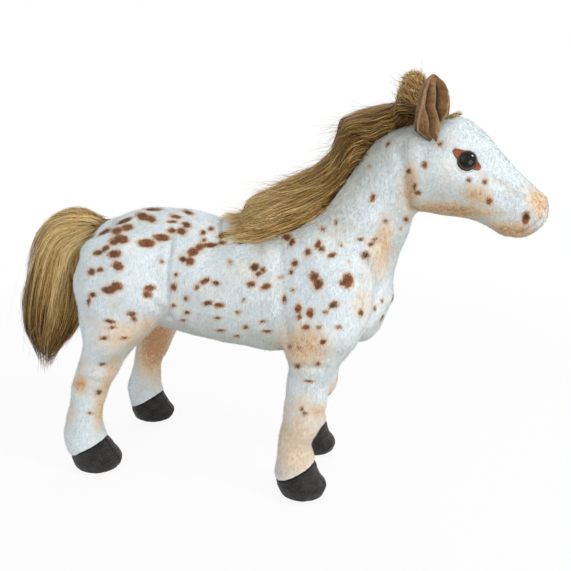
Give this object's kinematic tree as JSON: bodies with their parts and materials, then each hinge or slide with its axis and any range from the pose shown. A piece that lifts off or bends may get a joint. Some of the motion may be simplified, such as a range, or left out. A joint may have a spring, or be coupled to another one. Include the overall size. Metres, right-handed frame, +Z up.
{
  "type": "plush horse",
  "caption": "Standing stuffed plush horse with spotted short-pile body, long-pile mane and tail, suede hooves and ears, glossy eyes, and wire-framed legs, neck and head that bend.",
  "frame": {"origin": "on the ground plane, at the middle of the outline", "axes": "+X towards the nose, +Y to the horse's left, +Z up"},
  "size_m": [0.3822, 0.1202, 0.2833],
  "materials": {
    "plush": "short white pile with rust spots",
    "tan_plush": "short cream and tan pile with rust spots",
    "black_suede": "charcoal suede cloth",
    "steel_wire": "bare drawn wire",
    "tan_suede": "matt suede",
    "washer": "moulded",
    "rust_suede": "matt suede",
    "eye_gloss": "polished",
    "long_pile": "long golden brown pile"
  },
  "bodies": {
    "trunk": {"trunk": "plush", "wither_mane": "long_pile", "spine_wire": "steel_wire", "hip_crossbar": "steel_wire", "shoulder_crossbar": "steel_wire", "neck_crossbar": "steel_wire"},
    "neck": {"neck": "plush", "crest_mane": "long_pile", "neck_wire": "steel_wire"},
    "head": {"head": "plush", "head_crossbar": "steel_wire", "poll_tuft": "long_pile", "eye_right": "eye_gloss", "eye_washer_right": "washer", "eye_backing_right": "rust_suede", "eye_left": "eye_gloss", "eye_washer_left": "washer", "eye_backing_left": "rust_suede"},
    "ear_right": {"ear_right": "tan_suede"},
    "ear_left": {"ear_left": "tan_suede"},
    "hindleg_right": {"hindleg_right": "tan_plush", "hind_hoof_right": "black_suede", "hind_leg_wire_right": "steel_wire"},
    "hindleg_left": {"hindleg_left": "tan_plush", "hind_hoof_left": "black_suede", "hind_leg_wire_left": "steel_wire"},
    "foreleg_right": {"foreleg_right": "tan_plush", "fore_hoof_right": "black_suede", "fore_leg_wire_right": "steel_wire"},
    "foreleg_left": {"foreleg_left": "tan_plush", "fore_hoof_left": "black_suede", "fore_leg_wire_left": "steel_wire"},
    "tail": {"tail_hair": "long_pile", "tail_dock": "tan_suede"}
  },
  "joints": [
    {"name": "neck_bend", "type": "hinge", "parent": "trunk", "child": "neck", "pos_m": [0.071, 0, 0.18693], "axis": [0, 1, 0], "range_deg": [-8, 8]},
    {"name": "head_nod", "type": "hinge", "parent": "neck", "child": "head", "pos_m": [0.1136, 0, 0.22804], "axis": [0, 1, 0], "range_deg": [-8, 8]},
    {"name": "hindleg_right_swing", "type": "hinge", "parent": "trunk", "child": "hindleg_right", "pos_m": [-0.08393, -0.0378, 0.145], "axis": [0, 1, 0], "range_deg": [-8, 8]},
    {"name": "hindleg_left_swing", "type": "hinge", "parent": "trunk", "child": "hindleg_left", "pos_m": [-0.08393, 0.0378, 0.145], "axis": [0, 1, 0], "range_deg": [-8, 8]},
    {"name": "foreleg_right_swing", "type": "hinge", "parent": "trunk", "child": "foreleg_right", "pos_m": [0.05477, -0.03, 0.14], "axis": [0, 1, 0], "range_deg": [-8, 8]},
    {"name": "foreleg_left_swing", "type": "hinge", "parent": "trunk", "child": "foreleg_left", "pos_m": [0.05477, 0.03, 0.14], "axis": [0, 1, 0], "range_deg": [-8, 8]},
    {"name": "ear_right_tilt", "type": "hinge", "parent": "head", "child": "ear_right", "pos_m": [0.12288, -0.0189, 0.24269], "axis": [1, 0, 0], "range_deg": [-15, 15], "stiffness_Nm_per_rad": 0.01},
    {"name": "ear_left_tilt", "type": "hinge", "parent": "head", "child": "ear_left", "pos_m": [0.12288, 0.0189, 0.24269], "axis": [-1, 0, 0], "range_deg": [-15, 15], "stiffness_Nm_per_rad": 0.01},
    {"name": "tail_lift", "type": "hinge", "parent": "trunk", "child": "tail", "pos_m": [-0.11827, 0, 0.18094], "axis": [0, 1, 0], "range_deg": [0, 30]}
  ]
}
